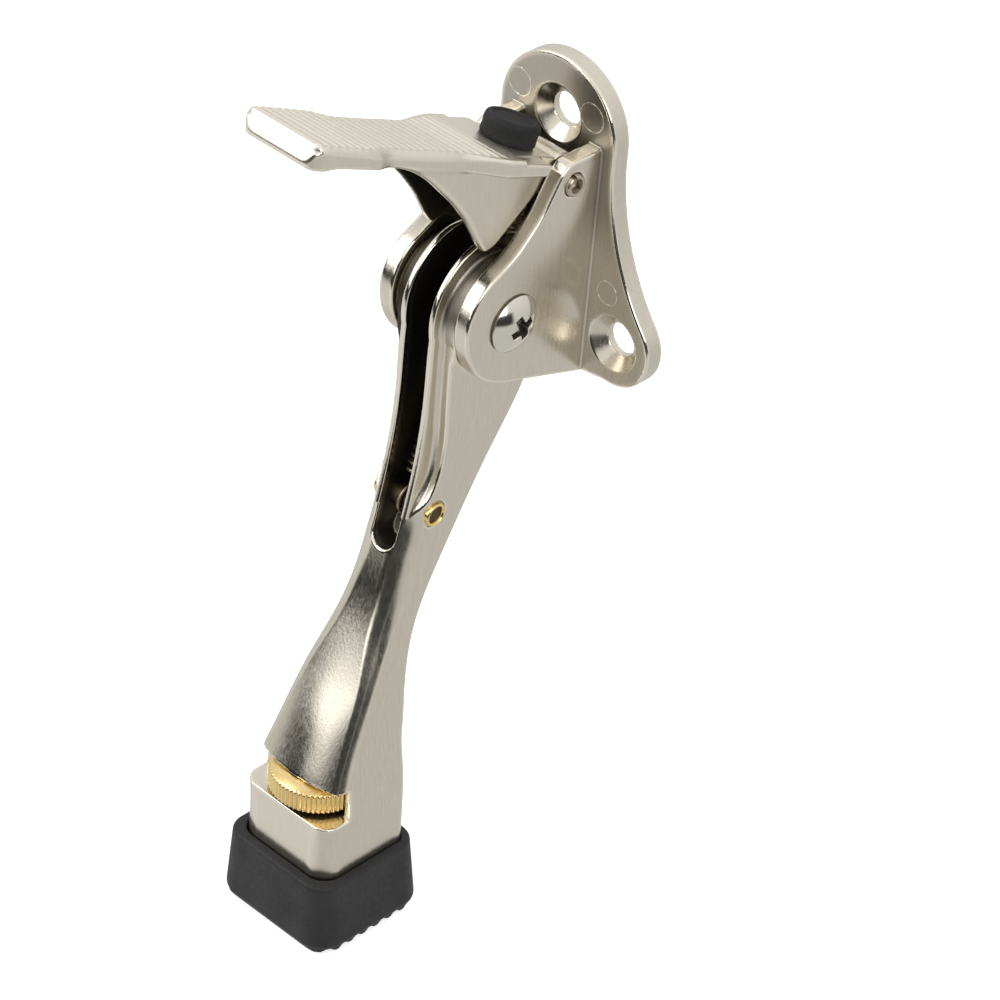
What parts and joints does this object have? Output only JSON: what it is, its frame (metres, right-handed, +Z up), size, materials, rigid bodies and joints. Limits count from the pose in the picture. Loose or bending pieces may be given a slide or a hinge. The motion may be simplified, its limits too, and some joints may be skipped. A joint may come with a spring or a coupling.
{
  "type": "floor door holder",
  "caption": "Kick-down door holder: cast bracket and release pedal, sprung nickel arm, brass height wheel, rubber foot.",
  "frame": {"origin": "midway between the two lower screw holes, on the back face of the mounting plate", "axes": "+Y into the door, normal to the plate; +Z up the door; +X to the right seen from in front"},
  "size_m": [0.043, 0.0595, 0.1447],
  "materials": {
    "satin_nickel": "satin nickel plate over zinc casting",
    "polished_nickel": "polished nickel plate",
    "steel": "plain bright steel",
    "brass": "turned brass",
    "black_rubber": "matt moulded rubber"
  },
  "bodies": {
    "bracket": {"mounting_bracket": "satin_nickel", "pedal_hinge_pin": "steel", "pivot_screw_left": "polished_nickel", "pivot_screw_right": "polished_nickel"},
    "pedal": {"release_pedal": "satin_nickel", "pedal_bumper": "black_rubber"},
    "arm": {"holder_arm": "satin_nickel", "spring_anchor_rivet": "brass"},
    "spring": {"tension_spring": "steel"},
    "wheel": {"thumbwheel": "brass"},
    "foot": {"foot_stud": "steel", "foot_plate": "steel", "rubber_foot": "black_rubber"}
  },
  "joints": [
    {"name": "arm_pivot", "type": "hinge", "parent": "bracket", "child": "arm", "pos_m": [0, -0.019, 0.0075], "axis": [-1, 0, 0], "range_deg": [0, 120], "deforming": ["tension_spring"]},
    {"name": "pedal_hinge", "type": "hinge", "parent": "bracket", "child": "pedal", "pos_m": [0, -0.00865, 0.0267], "axis": [-1, 0, 0], "range_deg": [0, 56]},
    {"name": "spring_swing", "type": "hinge", "parent": "arm", "child": "spring", "pos_m": [0, -0.0284, -0.0242], "axis": [-1, 0, 0], "range_deg": [-44, 0]},
    {"name": "wheel_turn", "type": "hinge", "parent": "arm", "child": "wheel", "pos_m": [0, -0.0442, -0.0685], "axis": [0, 0, 1], "range_deg": [0, 2520]},
    {"name": "foot_height", "type": "slide", "parent": "arm", "child": "foot", "axis": [0, 0, 1], "range_m": [0, 0.005]}
  ],
  "couplings": [
    {"joint": "pedal_hinge", "follows": "arm_pivot", "ratio": 0.45833},
    {"joint": "spring_swing", "follows": "arm_pivot", "ratio": -0.3575},
    {"joint": "foot_height", "follows": "wheel_turn", "m_per_rad": 0.00011141}
  ]
}
